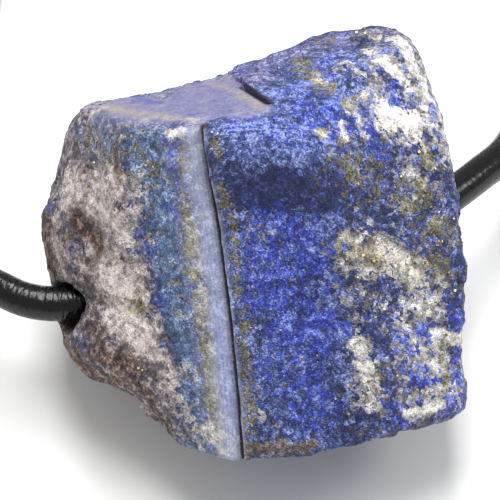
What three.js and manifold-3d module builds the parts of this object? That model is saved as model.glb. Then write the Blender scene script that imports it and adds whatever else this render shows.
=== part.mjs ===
// A rough lump of lapis lazuli, about 24 mm a side, drilled through and hung on a 2 mm leather cord.
// Millimetres, +Z up. The stone stands on its one small flat spot, with the origin under its middle.

import * as THREE from "three";
import { mergeVertices } from "three/addons/utils/BufferGeometryUtils.js";
import Module from "manifold-3d";

// ---- driving dimensions ----------------------------------------------------------------------------------

const BALL_DETAIL = 17; // the ball that is worked into the stone has 20 * 18 * 18 faces
const REACH = 22; // no point of the stone lies further than this from its middle
const EDGE_ROUND = 0.2; // how soft the edges between two break faces are
const REST_DEPTH = 9.3; // the flat resting spot lies this far under the middle

// Faces that the stone broke along. A bearing is 0 towards +X and 90 towards +Y, a tilt is how far the face
// looks up, both in degrees, and the last number is how far the face lies from the middle of the stone.
const BREAKS = [
  ["front", -90, 34, 10.4],
  ["front band", -90, 75, 11.7],
  ["right of the front", -53, 42, 9.6],
  ["upper right", -6, 60, 11.7],
  ["crown", 107, 57, 10.3],
  ["left of the front", -125, 34, 8.8],
  ["left flank", -158, 24, 10.3],
  ["lower left", -128, 9, 11],
  ["left side", 173, -9, 11.9],
  ["upper left side", 175, 21, 11.6],
  ["upper left corner", 125, 30, 12.05],
  ["back of the crown", 109, 24, 9.8],
  ["back of the peak", 80, 23, 12.8],
  ["shoulder", 24, 16, 13.4],
  ["upper right side", 14, 10, 12],
  ["right side", 6, -1, 11.25],
  ["lower right corner", -39, -24, 15],
  ["lower right edge", -75, -40, 11.5],
  ["lower front", -90, -46, 10.6],
  ["lower left corner", -132, -34, 11.7],
  ["lower left side", -162, -12, 12.4],
  ["back", 84, -12, 11],
  ["back left", 141, -14, 11.3],
  ["back right", 42, -12, 12],
  ["underside left", -170, -56, 10],
  ["underside right", 5, -53, 10.3],
  ["underside back", 80, -53, 10.2],
];

// Lumps (and hollows, where the height is negative): centre from the middle of the stone, width and height.
const LUMPS = [
  { name: "hollow under the lower left corner", at: [-6.4, -7.3, -4.8], width: 2.8, height: -1.15 },
  { name: "hollow in the left flank", at: [-9.1, -2.3, 3.9], width: 1.7, height: -0.9 },
  { name: "ridge beside it", at: [-7.9, -3.4, 5.7], width: 1.3, height: 0.4 },
  { name: "lump under the left flank", at: [-8.6, -7.4, -0.3], width: 1.8, height: 0.6 },
  { name: "upper left corner", at: [-9.5, 6.6, 4.6], width: 2.2, height: 0.6 },
  { name: "left point", at: [-12, 1.6, 0.2], width: 1.8, height: 0.3 },
  { name: "rim behind the sawn top", at: [-2, 7.6, 8.6], width: 1.8, height: 0.3 },
  { name: "left of the peak", at: [4.6, 9.6, 7.6], width: 3, height: 0.45 },
  { name: "peak", at: [7.8, 9.4, 7.6], width: 1.8, height: 0.35 },
  { name: "lower right corner", at: [10.6, -6.6, -2], width: 2, height: -0.3 },
  { name: "dip behind the saw stop", at: [-5, 6.4, 7.6], width: 2.2, height: -0.4 },
  { name: "dip before the saw stop", at: [1.8, 1.1, 11.4], width: 1.2, height: -0.35 },
  { name: "chipped left mouth of the bore", at: [-10.6, -3.3, -1.3], width: 2.2, height: -0.7 },
  { name: "worn rim of the left mouth", at: [-9.4, -5.6, 1.2], width: 1.9, height: -0.7 },
  { name: "chipped right mouth of the bore", at: [11, 3.1, -0.5], width: 2.2, height: -0.6 },
];

// The broken skin of the stone: how far apart its lumps are, and how high.
const SKIN = [
  { size: 4.6, height: 0.28 },
  { size: 2.1, height: 0.15 },
];

// The scar of a flake that came off the front: a ledge stands over its floor. The corner between the two
// starts at the first point, and the floor and the wall of the ledge run away from it.
const FLAKE = {
  corner: [-3.2, -3.3, 8.5],
  along: [1, 0.01, -0.01],
  floor: [0, -0.69, -0.73],
  wall: [0, 0.31, 0.95],
  size: [16, 8, 16],
  roughness: 0.22,
};

// The flat top was sawn: its face as in BREAKS, and the line where the saw stopped, from back to front.
const SAWN_TOP = [105, 54, 9.99];
const SAW_STOP = [[-0.7, 4.8, 8.8], [0.8, 2.1, 11]];

// A second cut ran down the front and left a narrow smooth strip with a groove along its right-hand wall.
const STRIP_FACE = [-99, 42, 8.2];
const STRIP_WALL = [[-2.95, -0.2, 11.4], [-0.7, -13.1, -2.2]];
const STRIP_WIDTH = 7;
const GROOVE_WIDTH = 0.42;
const GROOVE_DEPTH = 0.45;
const WALL_BOW = 0.3; // the wall is a little curved along its length

// The bore, from its left mouth to its right one, in the finished part's frame, and the cord through it.
const BORE = [[-10.15, -2.12, 7.98], [10.65, 4.22, 8.76]];
const BORE_RADIUS = 1.5;
const BORE_SIDES = 20;
const [LEFT_MOUTH, RIGHT_MOUTH] = [1.8, 2.1]; // their radii
const MOUTH_DEPTH = 2.2;
const CORD_DIAMETER = 2;
const CORD_SIDES = 8;
const CORD_STEP = 2.4;

// The cord lies in one loop: out of the left mouth, down to the surface, round the coil, and back in at the
// right mouth. These are the points of its free run, from the coil's right side through the stone to its left.
const CORD_ROUTE = [
  [13.9, 32, 1.7], [14.9, 28.8, 1.1], [15.6, 25.5, 1.05], [15.8, 22.2, 1.5], [15.85, 19, 2.6], [15.8, 16.2, 4],
  [15.7, 13.5, 5.4], [15.25, 10.9, 6.6], [14.3, 8.6, 7.5], [12.95, 6.9, 8.05], [11.7, 5.5, 8.4],
  [10.45, 4.3, 8.65], [8.8, 3.65, 8.69], [5.5, 2.65, 8.57], [0.25, 1.05, 8.37], [-5, -0.55, 8.17],
  [-7.2, -1.21, 8.09], [-8.8, -1.64, 8.02], [-10.3, -2, 7.95], [-11.75, -2.05, 7.9], [-13.15, -1.7, 7.87],
  [-14.4, -1, 7.86], [-15.6, -0.15, 7.7], [-16.5, 1.05, 7.35], [-16.98, 2.6, 6.75], [-17.05, 4.4, 5.9],
  [-16.98, 6.5, 4.85], [-16.85, 8.8, 3.65], [-16.7, 11.2, 2.55], [-16.5, 13.9, 1.65], [-16.35, 17, 1.1],
  [-16.15, 20.5, 1], [-15.9, 24.5, 1], [-15.45, 28, 1], [-14.7, 31, 1], [-14, 33, 1],
];

// The coil has three turns side by side on the surface and one and a half on top of them.
const COIL_CENTRE = [0, 39.5];
const COIL_RADIUS = 10.3; // to the middle of its turns
const TURN_PITCH = 2.05;
const COIL_HEIGHT = 3.8;
const COIL_SIDES = 40;

// ---- the broken lump -------------------------------------------------------------------------------------

function facing(bearing, tilt) {
  const b = THREE.MathUtils.degToRad(bearing);
  const t = THREE.MathUtils.degToRad(tilt);
  return new THREE.Vector3(Math.cos(b) * Math.cos(t), Math.sin(b) * Math.cos(t), Math.sin(t));
}

function face([bearing, tilt, out]) {
  return { way: facing(bearing, tilt), out };
}

const breakFaces = BREAKS.map(([, ...sizes]) => face(sizes));
const lumps = LUMPS.map(({ at, width, height }) => ({ at: new THREE.Vector3(...at), width, height }));

function random(x, y, z) {
  const n = Math.sin(x * 127.1 + y * 311.7 + z * 74.7) * 43758.5453;
  return n - Math.floor(n);
}

// Smooth lumps of one size, from -1 to 1: random values at the corners of a lattice, blended between them.
function lumpiness(p, size) {
  const q = [p.x / size + 31.4, p.y / size + 17.9, p.z / size + 23.3];
  const low = q.map(Math.floor);
  const share = q.map((value, i) => value - low[i]).map((t) => t * t * (3 - 2 * t));
  let sum = 0;
  for (let corner = 0; corner < 8; corner++) {
    const step = [corner & 1, (corner >> 1) & 1, corner >> 2];
    const weight = step.reduce((w, up, i) => w * (up ? share[i] : 1 - share[i]), 1);
    sum += weight * random(...low.map((value, i) => value + step[i]));
  }
  return 2 * sum - 1;
}

function skin(p) {
  return SKIN.reduce((sum, { size, height }) => sum + height * lumpiness(p, size), 0);
}

// Negative inside the lump and positive outside it, in about millimetres.
function outside(p) {
  let sum = 0;
  for (const { way, out } of breakFaces) sum += Math.exp((way.dot(p) - out) / EDGE_ROUND);
  let depth = EDGE_ROUND * Math.log(sum);
  for (const { at, width, height } of lumps) {
    depth -= height * Math.exp(-p.distanceToSquared(at) / (width * width));
  }
  return depth - skin(p);
}

function surfacePoint(way) {
  let near = 1;
  let far = REACH;
  for (let step = 0; step < 22; step++) {
    const middle = (near + far) / 2;
    if (outside(way.clone().multiplyScalar(middle)) < 0) near = middle;
    else far = middle;
  }
  return way.clone().multiplyScalar(near);
}

function brokenLump() {
  const lump = bareMesh(new THREE.IcosahedronGeometry(1, BALL_DETAIL));
  const place = lump.attributes.position;
  const way = new THREE.Vector3();
  for (let i = 0; i < place.count; i++) {
    way.fromBufferAttribute(place, i).normalize();
    place.setXYZ(i, ...surfacePoint(way).toArray());
  }
  return solid(lump);
}

// ---- cutting ---------------------------------------------------------------------------------------------

const wasm = await Module();
wasm.setup();

function bareMesh(geometry) {
  const bare = geometry.clone();
  for (const name of ["normal", "uv"]) bare.deleteAttribute(name);
  return mergeVertices(bare, 1e-4);
}

function solid(geometry) {
  const bare = bareMesh(geometry);
  const vertProperties = bare.attributes.position.array;
  const triVerts = Uint32Array.from(bare.index.array);
  return new wasm.Manifold(new wasm.Mesh({ numProp: 3, vertProperties, triVerts }));
}

function geometryOf(body) {
  const { vertProperties, triVerts } = body.getMesh();
  const shared = new THREE.BufferGeometry();
  shared.setAttribute("position", new THREE.BufferAttribute(vertProperties, 3));
  shared.setIndex(new THREE.BufferAttribute(triVerts, 1));
  const faceted = shared.toNonIndexed();
  faceted.computeVertexNormals();
  return faceted;
}

// Everything outside the sawn top's face, up to the line where the saw stopped.
function sawnTopCutter() {
  const { way, out } = face(SAWN_TOP);
  const [back, front] = SAW_STOP.map((point) => new THREE.Vector3(...point));
  const along = back.clone().sub(front).projectOnPlane(way).normalize();
  const across = new THREE.Vector3().crossVectors(way, along);
  const start = front.clone().addScaledVector(way, out - way.dot(front));
  const block = new THREE.BoxGeometry(60, 30, 20).translate(0, 15, 10);
  return solid(block.applyMatrix4(new THREE.Matrix4().makeBasis(along, across, way).setPosition(start)));
}

// The strip's cut, drawn across its length: the wall stands at x = 0, and the face runs away to the left.
function stripCutter() {
  const [top, foot] = STRIP_WALL.map((point) => new THREE.Vector3(...point));
  const outline = new THREE.Shape();
  outline.moveTo(0, 4);
  outline.lineTo(0, -GROOVE_DEPTH);
  outline.lineTo(-GROOVE_WIDTH / 3, -GROOVE_DEPTH);
  outline.lineTo(-GROOVE_WIDTH, -GROOVE_DEPTH / 4);
  outline.lineTo(-GROOVE_WIDTH * 1.7, 0);
  outline.lineTo(-STRIP_WIDTH, 0);
  outline.lineTo(-STRIP_WIDTH, 4);
  outline.closePath();
  const run = top.distanceTo(foot);
  const cut = new THREE.ExtrudeGeometry(outline, { depth: run * 1.4, steps: 14, bevelEnabled: false });
  cut.translate(0, 0, -0.2 * run);
  const place = cut.attributes.position;
  for (let i = 0; i < place.count; i++) {
    const part = place.getZ(i) / run;
    place.setX(i, place.getX(i) + WALL_BOW * 4 * part * (1 - part));
  }
  const down = foot.clone().sub(top).normalize();
  const up = facing(STRIP_FACE[0], STRIP_FACE[1]).projectOnPlane(down).normalize();
  const across = new THREE.Vector3().crossVectors(up, down);
  return solid(cut.applyMatrix4(new THREE.Matrix4().makeBasis(across, up, down).setPosition(top)));
}

// The wedge that the flake left empty. Its faces are as rough as the rest of the break.
function flakeCutter() {
  const [along, floor, wall] = [FLAKE.along, FLAKE.floor, FLAKE.wall].map((way) => {
    return new THREE.Vector3(...way).normalize();
  });
  const [length, high, deep] = FLAKE.size;
  const wedge = new THREE.BoxGeometry(length, high, deep, length, high, deep);
  wedge.translate(length / 2, high / 2, deep / 2);
  wedge.applyMatrix4(new THREE.Matrix4().makeBasis(along, wall, floor).setPosition(...FLAKE.corner));
  const place = wedge.attributes.position;
  const out = new THREE.Vector3().crossVectors(along, floor);
  const point = new THREE.Vector3();
  for (let i = 0; i < place.count; i++) {
    point.fromBufferAttribute(place, i);
    point.addScaledVector(out, FLAKE.roughness * lumpiness(point, SKIN[1].size));
    place.setXYZ(i, ...point.toArray());
  }
  return solid(wedge);
}

// The chips that a cut leaves loose fall away.
function biggest(body) {
  return body.decompose().reduce((most, chip) => (chip.volume() > most.volume() ? chip : most));
}

function restCutter() {
  return solid(new THREE.BoxGeometry(60, 60, 10).translate(0, 0, -REST_DEPTH - 5));
}

// The bore widens at both mouths, where its edge has chipped and worn against the cord.
function boreCutter() {
  const [left, right] = BORE.map((point) => new THREE.Vector3(...point));
  const half = left.distanceTo(right) / 2;
  const ends = half + 6;
  const outline = [
    [0, -ends], [LEFT_MOUTH, -ends], [LEFT_MOUTH, 0.3 - half], [BORE_RADIUS, MOUTH_DEPTH - half],
    [BORE_RADIUS, half - MOUTH_DEPTH], [RIGHT_MOUTH, half - 0.3], [RIGHT_MOUTH, ends], [0, ends],
  ].map(([radius, along]) => new THREE.Vector2(radius, along));
  const drill = new THREE.LatheGeometry(outline, BORE_SIDES);
  const turn = new THREE.Quaternion();
  turn.setFromUnitVectors(new THREE.Vector3(0, 1, 0), right.clone().sub(left).normalize());
  return solid(drill.applyQuaternion(turn).translate(...left.lerp(right, 0.5).toArray()));
}

function drilledStone() {
  const sawn = brokenLump()
    .subtract(restCutter())
    .subtract(sawnTopCutter())
    .subtract(flakeCutter())
    .subtract(stripCutter());
  const stone = biggest(sawn);
  const { min, max } = stone.boundingBox();
  const stood = stone.translate([-(min[0] + max[0]) / 2, -(min[1] + max[1]) / 2, -min[2]]);
  return geometryOf(biggest(stood.subtract(boreCutter())));
}

// ---- the cord --------------------------------------------------------------------------------------------

function cordRun() {
  const route = new THREE.CatmullRomCurve3(CORD_ROUTE.map((point) => new THREE.Vector3(...point)));
  const section = new THREE.Shape();
  for (let side = 0; side < CORD_SIDES; side++) {
    const angle = (2 * Math.PI * side) / CORD_SIDES;
    const corner = [Math.cos(angle), Math.sin(angle)].map((value) => (value * CORD_DIAMETER) / 2);
    if (side) section.lineTo(...corner);
    else section.moveTo(...corner);
  }
  section.closePath();
  const steps = Math.round(route.getLength() / CORD_STEP);
  return new THREE.ExtrudeGeometry(section, { steps, extrudePath: route, bevelEnabled: false });
}

function cordCoil() {
  const half = TURN_PITCH + CORD_DIAMETER / 2;
  const topHalf = half - TURN_PITCH / 2;
  const outline = [
    [-half, 0], [half, 0], [half, CORD_DIAMETER], [topHalf, COIL_HEIGHT], [-topHalf, COIL_HEIGHT],
    [-half, CORD_DIAMETER], [-half, 0],
  ].map(([across, up]) => new THREE.Vector2(COIL_RADIUS + across, up));
  const ring = new THREE.LatheGeometry(outline, COIL_SIDES);
  return ring.rotateX(Math.PI / 2).translate(...COIL_CENTRE, 0);
}

// ---- the part --------------------------------------------------------------------------------------------

const lapis = new THREE.MeshStandardMaterial({ color: 0x3b4a98, roughness: 0.8, metalness: 0 });
const leather = new THREE.MeshStandardMaterial({ color: 0x161615, roughness: 0.4, metalness: 0 });

function piece(name, geometry, material) {
  const mesh = new THREE.Mesh(geometry, material.clone());
  mesh.name = name;
  return mesh;
}

const lapisOnCord = new THREE.Group();
lapisOnCord.add(piece("stone", drilledStone(), lapis));
lapisOnCord.add(piece("cord", cordRun(), leather));
lapisOnCord.add(piece("cord_coil", cordCoil(), leather));

export default lapisOnCord;
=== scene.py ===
# A rough lump of lapis lazuli, sawn on two sides, broken on the others, drilled through and hung on a leather
# cord. The sections follow the order in which it is put together: the cord, the stone and the pyrite in it.

import math

import bmesh
import bpy
import numpy as np
from mathutils import Matrix, Vector, noise


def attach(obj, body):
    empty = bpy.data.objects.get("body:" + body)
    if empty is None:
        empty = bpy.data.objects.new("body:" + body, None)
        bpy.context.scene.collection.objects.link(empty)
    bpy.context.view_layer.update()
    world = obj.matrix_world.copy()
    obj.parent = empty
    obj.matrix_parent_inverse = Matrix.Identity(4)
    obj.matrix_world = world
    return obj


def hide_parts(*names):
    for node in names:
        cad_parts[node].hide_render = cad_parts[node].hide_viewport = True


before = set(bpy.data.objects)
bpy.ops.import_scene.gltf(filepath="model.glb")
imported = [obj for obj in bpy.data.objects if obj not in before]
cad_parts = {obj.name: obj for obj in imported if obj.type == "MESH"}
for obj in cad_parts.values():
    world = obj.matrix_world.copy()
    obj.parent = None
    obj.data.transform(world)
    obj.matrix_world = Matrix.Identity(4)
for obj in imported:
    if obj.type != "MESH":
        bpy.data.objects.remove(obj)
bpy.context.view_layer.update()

# ---- the camera ------------------------------------------------------------------------------------------
# It looks down at the stone from in front, from so far away that the stone's sides hardly draw together.

MM = 0.001
aim = Vector((-0.229, 0.817, 9.104)) * MM
elevation = math.radians(55)
distance = 600 * MM
view_width = 28.41 * MM  # what the picture takes in, at the stone's middle

camera = bpy.data.objects.new("camera", bpy.data.cameras.new("camera"))
camera.data.sensor_width = 36
camera.data.lens = camera.data.sensor_width * distance / view_width
camera.data.clip_start = 0.01
camera.data.clip_end = 10
camera.location = aim + distance * Vector((0, -math.cos(elevation), math.sin(elevation)))
camera.rotation_euler = (math.pi / 2 - elevation, 0, 0)
bpy.context.scene.collection.objects.link(camera)
bpy.context.scene.camera = camera

# ---- the leather cord ------------------------------------------------------------------------------------
# Round leather cord for necklaces: a strip cut from hide, rolled round, dyed black and waxed. It is threaded
# through the bore, and its long loop is wound up flat behind the stone. Its two ends meet inside the bore.

CORD_DIAMETER = 2  # in millimetres, as are the sizes and places from here on
LEFT_RUN = [
    (-0.5, 0.82, 8.35), (-5, -0.55, 8.17), (-7.2, -1.21, 8.09), (-8.8, -1.64, 8.02), (-10.3, -2, 7.95),
    (-11.75, -2.05, 7.9), (-13.15, -1.7, 7.87), (-14.4, -1, 7.86), (-15.6, -0.15, 7.7), (-16.5, 1.05, 7.35),
    (-16.98, 2.6, 6.75), (-17.05, 4.4, 5.9), (-16.98, 6.5, 4.85), (-16.85, 8.8, 3.65), (-16.7, 11.2, 2.55),
    (-16.5, 13.9, 1.65), (-16.35, 17, 1.1), (-16.15, 20.5, 1), (-15.9, 24.5, 1), (-15.45, 28, 1),
    (-14.7, 31, 1), (-13.7, 34, 1), (-12.8, 36.7, 1),
]
RIGHT_RUN = [
    (11.85, 37.2, 3.05), (12.85, 34.7, 2.7), (13.9, 32, 1.7), (14.9, 28.8, 1.1), (15.6, 25.5, 1.05),
    (15.8, 22.2, 1.5), (15.85, 19, 2.6), (15.8, 16.2, 4), (15.7, 13.5, 5.4), (15.25, 10.9, 6.6),
    (14.3, 8.6, 7.5), (12.95, 6.9, 8.05), (11.7, 5.5, 8.4), (10.45, 4.3, 8.65), (8.8, 3.65, 8.69),
    (5.5, 2.65, 8.57), (1, 1.28, 8.4),
]
COIL_CENTRE = (0, 39.5)
POINTS_A_TURN = 24
# Turns wound so far, counted clockwise from the left side, with the radius and the height of the cord there:
# three turns side by side on the table, then one and a half on top of them.
COIL_STATIONS = [
    (0, 12.35, 1), (0.86, 12.35, 1), (1, 10.3, 1), (1.86, 10.3, 1), (2, 8.25, 1), (2.7, 8.25, 1),
    (2.86, 8.6, 2.97), (2.93, 8.76, 2.98), (3, 9.27, 2.77), (3.55, 9.27, 2.77), (3.64, 10.3, 3.04),
    (3.72, 11.33, 2.77), (3.86, 11.33, 2.77), (3.93, 11.33, 3.04), (4, 11.33, 2.77), (4.5, 11.33, 2.77),
]


def coil_points():
    """The turns of the coil, from the end of the left run to the start of the right one."""
    turns, radii, heights = zip(*COIL_STATIONS)
    points = []
    for step in range(round(turns[-1] * POINTS_A_TURN) + 1):
        turn = step / POINTS_A_TURN
        at = min(max(i for i, t in enumerate(turns) if t <= turn), len(turns) - 2)
        share = (turn - turns[at]) / (turns[at + 1] - turns[at])
        share = share * share * (3 - 2 * share)  # the cord eases from one station to the next
        radius = radii[at] + share * (radii[at + 1] - radii[at])
        height = heights[at] + share * (heights[at + 1] - heights[at])
        angle = math.pi - turn * 2 * math.pi
        x, y = COIL_CENTRE
        points.append((x + radius * math.cos(angle), y + radius * math.sin(angle), height))
    return points


def smooth_line(points, spacing, steps_a_span=24):
    """Points this far apart on the smooth curve through the given ones, and the curve's length."""
    p = np.array(points, float)
    p = np.vstack([2 * p[0] - p[1], p, 2 * p[-1] - p[-2]])
    t = np.linspace(0, 1, steps_a_span, endpoint=False)[:, None]
    curve = []
    for a, b, c, d in zip(p, p[1:], p[2:], p[3:]):
        curve.append(0.5 * (2 * b + (c - a) * t + (2 * a - 5 * b + 4 * c - d) * t**2
                            + (3 * b - a - 3 * c + d) * t**3))
    curve = np.vstack(curve + [p[-2]])
    along = np.concatenate([[0], np.cumsum(np.linalg.norm(np.diff(curve, axis=0), axis=1))])
    even = np.linspace(0, along[-1], round(along[-1] / spacing) + 1)
    return np.stack([np.interp(even, along, curve[:, i]) for i in range(3)], 1), along[-1]


def tube(name, path, radius, sides):
    """A closed tube along a path in millimetres. Its UV map gives millimetres round it and along it."""
    made = bmesh.new()
    uv = made.loops.layers.uv.new("around_and_along_mm")
    ahead = np.gradient(path, axis=0)
    ahead /= np.linalg.norm(ahead, axis=1)[:, None]
    side = np.cross(ahead[0], (0, 0, 1))
    rings = []
    for point, way in zip(path, ahead):
        side = side - way * side.dot(way)  # the ring turns with the cord, and doesn't twist round it
        side /= np.linalg.norm(side)
        other = np.cross(way, side)
        ring = []
        for i in range(sides):
            angle = 2 * math.pi * i / sides
            corner = point + radius * (math.cos(angle) * side + math.sin(angle) * other)
            ring.append(made.verts.new(corner * MM))
        rings.append(ring)
    spacing = np.linalg.norm(path[1] - path[0])
    for i, (near, far) in enumerate(zip(rings, rings[1:])):
        for j in range(sides):
            k = (j + 1) % sides
            quad = made.faces.new((near[j], near[k], far[k], far[j]))
            quad.smooth = True
            for loop, (u, v) in zip(quad.loops, ((j, i), (j + 1, i), (j + 1, i + 1), (j, i + 1))):
                loop[uv].uv = (u / sides * 2 * math.pi * radius, v * spacing)
    made.faces.new(reversed(rings[0]))
    made.faces.new(rings[-1])
    mesh = bpy.data.meshes.new(name)
    made.to_mesh(mesh)
    made.free()
    piece = bpy.data.objects.new(name, mesh)
    bpy.context.scene.collection.objects.link(piece)
    return piece


def linear(hex_colour):
    """A colour as it is written, #rrggbb, turned into the renderer's red, green, blue and alpha."""
    channels = [int(hex_colour[i:i + 2], 16) / 255 for i in (1, 3, 5)]
    return [c / 12.92 if c <= 0.04045 else ((c + 0.055) / 1.055) ** 2.4 for c in channels] + [1]


def add(tree, kind, inputs=None, **settings):
    """Adds a node. Its inputs, by socket name or number, are given a value or joined to another's output."""
    made = tree.nodes.new(kind)
    for name, value in settings.items():
        setattr(made, name, value)
    for socket, value in (inputs or {}).items():
        if isinstance(value, bpy.types.NodeSocket):
            tree.links.new(value, made.inputs[socket])
        else:
            made.inputs[socket].default_value = value
    return made


cord_path, cord_length = smooth_line(LEFT_RUN + coil_points() + RIGHT_RUN, spacing=0.5)
cord = tube("leather_cord", cord_path, CORD_DIAMETER / 2, sides=20)

# Black-dyed, waxed leather. The wax gives it a soft gloss, and where the cord has been bent the hard outer
# skin has cracked across, so the highlight along it is broken up.
leather = bpy.data.materials.new("black_waxed_leather")
leather.use_nodes = True
tree = leather.node_tree
skin = tree.nodes["Principled BSDF"]
place = add(tree, "ShaderNodeUVMap", uv_map="around_and_along_mm").outputs["UV"]
# Cracks run part of the way round, about 0.5 mm apart.
across = add(tree, "ShaderNodeMapping", {"Vector": place, "Scale": (0.6, 2.3, 1)}).outputs["Vector"]
wander = add(tree, "ShaderNodeTexNoise", {"Vector": across, "Scale": 1.3, "Detail": 2.0})
bent = add(tree, "ShaderNodeVectorMath", {0: wander.outputs["Color"], 1: (0.5, 0.9, 0)}, operation="MULTIPLY")
cracked = add(tree, "ShaderNodeVectorMath", {0: across, 1: bent.outputs["Vector"]}, operation="ADD")
cells = add(tree, "ShaderNodeTexVoronoi", {"Vector": cracked.outputs["Vector"], "Scale": 1.0},
            feature="DISTANCE_TO_EDGE", voronoi_dimensions="2D")
crack = add(tree, "ShaderNodeMapRange", {"Value": cells.outputs["Distance"], "From Max": 0.26},
            interpolation_type="SMOOTHSTEP")
grain = add(tree, "ShaderNodeTexNoise", {"Vector": place, "Scale": 4.0, "Detail": 3.0, "Roughness": 0.6})
relief = add(tree, "ShaderNodeMath", {0: grain.outputs["Fac"], 1: 1.3, 2: crack.outputs["Result"]},
             operation="MULTIPLY_ADD")
# They are deep at the left, where the cord has been bent most, and faint at the right.
along = add(tree, "ShaderNodeSeparateXYZ", {"Vector": place}).outputs["Y"]
depth = add(tree, "ShaderNodeMapRange", {"Value": along, "From Max": cord_length,
                                         "To Min": 0.35, "To Max": 0.1})
bump = add(tree, "ShaderNodeBump", {"Height": relief.outputs["Value"], "Strength": depth.outputs["Result"],
                                    "Distance": 0.05 * MM})
dye = add(tree, "ShaderNodeMix", {"Factor": grain.outputs["Fac"], 6: linear("#020202"), 7: linear("#070606")},
          data_type="RGBA")
dull = add(tree, "ShaderNodeMapRange", {"Value": grain.outputs["Fac"], "From Min": 0.3, "From Max": 0.7,
                                        "To Min": 0.12, "To Max": 0.34})
tree.links.new(dye.outputs[2], skin.inputs["Base Color"])
tree.links.new(dull.outputs["Result"], skin.inputs["Roughness"])
tree.links.new(bump.outputs["Normal"], skin.inputs["Normal"])
skin.inputs["IOR"].default_value = 1.42
cord.data.materials.append(leather)

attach(cord, "root")
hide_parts("cord", "cord_coil")

# ---- the stone -------------------------------------------------------------------------------------------
# Rough lapis lazuli: grains of blue lazurite, white calcite, grey-green diopside and brassy pyrite that grew
# together. It was sawn flat on top and down the front, where the saw left a groove, and broken elsewhere.

LONGEST_SIDE = 0.26  # of a triangle in the finished skin
MERGE_DISTANCE = 0.002
SAWN_TOP = (105, 54, 18.032)  # the bearing and the tilt of the saw cut on top, and how far out it lies
SAWN_TOP_END = 0.9  # how far to the right it goes
SAW_STOP = ((-0.55, 5.6, 18.2), (0.85, 3.0, 20.25))  # where that cut ends in a step
NOTCH_DEPTH = 0.3  # how far the saw went in under the sawn face, at the step
WORN_STEP = ((-2.8, 9.3, 15.6), (-0.8, 6.2, 17.8))  # the rest of that step, which has worn away
WALL_TOP, WALL_FOOT = Vector((-2.794, 0.755, 20.7)), Vector((-0.544, -12.145, 7.1))  # of the saw groove
WALL_BOW = 0.3  # how far the groove's wall bows out, halfway down
STRIP_FACES = (-99, 42)  # the bearing and the tilt of the smooth strip along the groove
STRIP_WIDTH = 2.5
BORE = ((-10.15, -2.12, 7.98), (10.65, 4.22, 8.76))  # its axis, from the left mouth to the right one
CLOSED_IN = 0.45  # how far the rock has closed in round the left mouth
RIM_RADIUS, RIM_RISE, RIM_DEPTH = 1.8, 1.2, 1.5  # of the rock that has closed in
TABLE_GAP = 0.01  # between the table and the parts of the skin that don't rest on it

shape = bmesh.new()
shape.from_mesh(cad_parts["stone"].data)
bmesh.ops.scale(shape, vec=(1 / MM,) * 3, verts=shape.verts)
bmesh.ops.remove_doubles(shape, verts=shape.verts, dist=MERGE_DISTANCE)
notch_end, notch_way = Vector(SAW_STOP[0]), Vector(SAW_STOP[1]) - Vector(SAW_STOP[0])


def by_the_notch(side, reach=0.6):
    """Whether an end of this edge lies within reach of the notch where the saw stopped."""
    for end in side.verts:
        share = min(max((end.co - notch_end).dot(notch_way) / notch_way.dot(notch_way), 0), 1)
        if (end.co - notch_end - notch_way * share).length < reach:
            return True
    return False


# The last two rounds are for the notch, which is finer than the rest.
for fineness in (1, 1, 1, 1, 2, 2):
    long_sides = [side for side in shape.edges if side.calc_length() > LONGEST_SIDE / fineness
                  and (fineness == 1 or by_the_notch(side))]
    bmesh.ops.subdivide_edges(shape, edges=long_sides, cuts=1)
    bmesh.ops.triangulate(shape, faces=[face for face in shape.faces if len(face.verts) > 3])
# A few slivers end as pairs of faces that lie back to back, and go.
shape.verts.index_update()
twins = {}
for face in shape.faces:
    twins.setdefault(frozenset(corner.index for corner in face.verts), []).append(face)
back_to_back = [face for pair in twins.values() if len(pair) > 1 for face in pair]
bmesh.ops.delete(shape, geom=back_to_back, context="FACES")
stone_mesh = bpy.data.meshes.new("lapis_stone")
shape.to_mesh(stone_mesh)
shape.free()
points = np.zeros(len(stone_mesh.vertices) * 3)
stone_mesh.vertices.foreach_get("co", points)
points = points.reshape(-1, 3)
sides = np.zeros(len(stone_mesh.edges) * 2, int)
stone_mesh.edges.foreach_get("vertices", sides)
sides = sides.reshape(-1, 2)
on_the_table = points[:, 2] < TABLE_GAP / 2


def facing(bearing, tilt):
    """The way that a face with this bearing and this tilt looks, both in degrees."""
    b, t = math.radians(bearing), math.radians(tilt)
    return Vector((math.cos(b) * math.cos(t), math.sin(b) * math.cos(t), math.sin(t)))


def distance_to(start, end):
    """How far each point of the skin lies from the line between two points."""
    start, along = np.array(start), np.array(end) - np.array(start)
    share = np.clip((points - start) @ along / max(along @ along, 1e-9), 0, 1)
    return np.linalg.norm(points - start - share[:, None] * along, axis=1)


def close_by(distances, reach, fade):
    """1 close by and 0 out of reach, with a fade over the last part of the way."""
    return np.clip((reach - distances) / fade, 0, 1)


def between(values, least, most):
    """Where the values lie between two limits."""
    return (values > least) & (values < most)


def soften(values, rounds, share=0.5, hold=None):
    """Blends each vertex's value with its neighbours'. Where hold is 1, it stays as it is."""
    if values.ndim == 1:
        return soften(values[:, None].astype(float), rounds, share, hold)[:, 0]
    free = np.ones(len(values)) if hold is None else 1 - hold
    neighbours = np.maximum(np.bincount(sides.ravel(), minlength=len(values)), 1)[:, None]
    for _ in range(rounds):
        mean = np.zeros_like(values)
        for one, other in (sides.T, sides.T[::-1]):
            for i in range(values.shape[1]):
                mean[:, i] += np.bincount(one, values[other, i], len(values))
        mean /= neighbours
        values = values + share * free[:, None] * (mean - values)
    return values


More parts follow.
